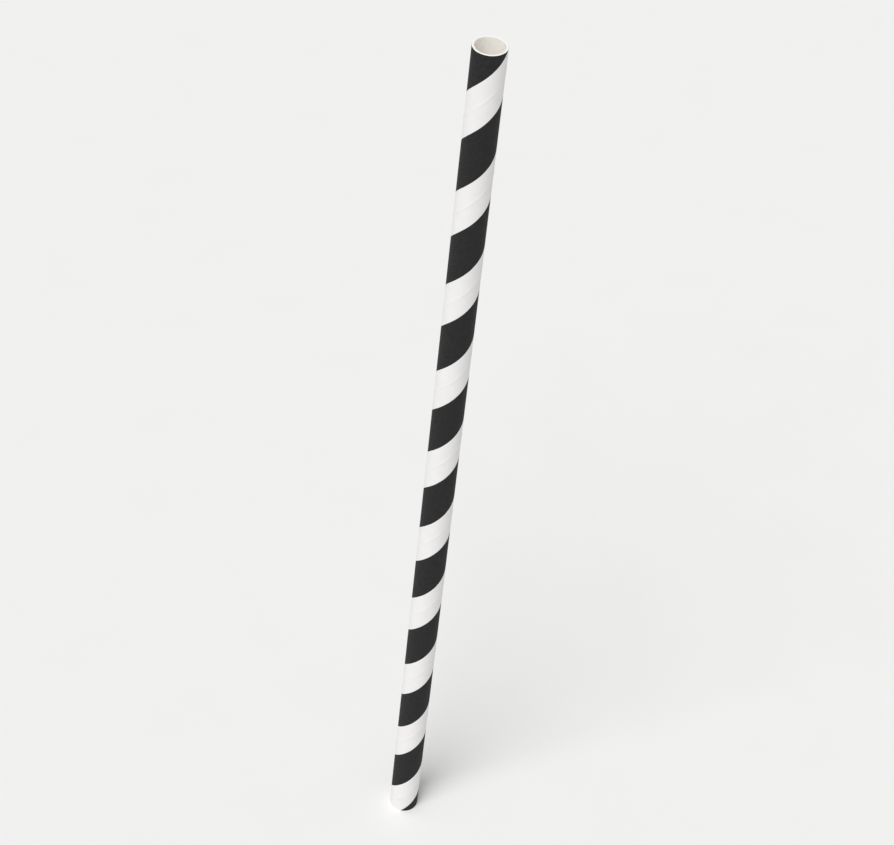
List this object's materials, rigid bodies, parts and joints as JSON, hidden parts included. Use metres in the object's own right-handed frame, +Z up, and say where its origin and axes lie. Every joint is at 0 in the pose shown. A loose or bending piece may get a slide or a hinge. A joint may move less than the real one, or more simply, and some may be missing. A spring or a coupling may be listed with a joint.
{
  "type": "paper drinking straw",
  "caption": "Straight paper drinking straw: a wound, glued paper tube, open at both ends, with a spiral stripe and a spiral seam, standing on its cut foot.",
  "frame": {"origin": "on the floor, under the middle of the straw's foot", "axes": "+Z up along the straw's axis, from its foot to its rim; -Y towards the front, where the black band at the rim ends 4.35 mm down; +X to the right, seen from the front"},
  "size_m": [0.006, 0.006, 0.197],
  "materials": {
    "printed_paper": "uncoated white paper, printed with a satin black spiral band"
  },
  "bodies": {
    "root": {"straw_tube": "printed_paper"}
  },
  "joints": []
}
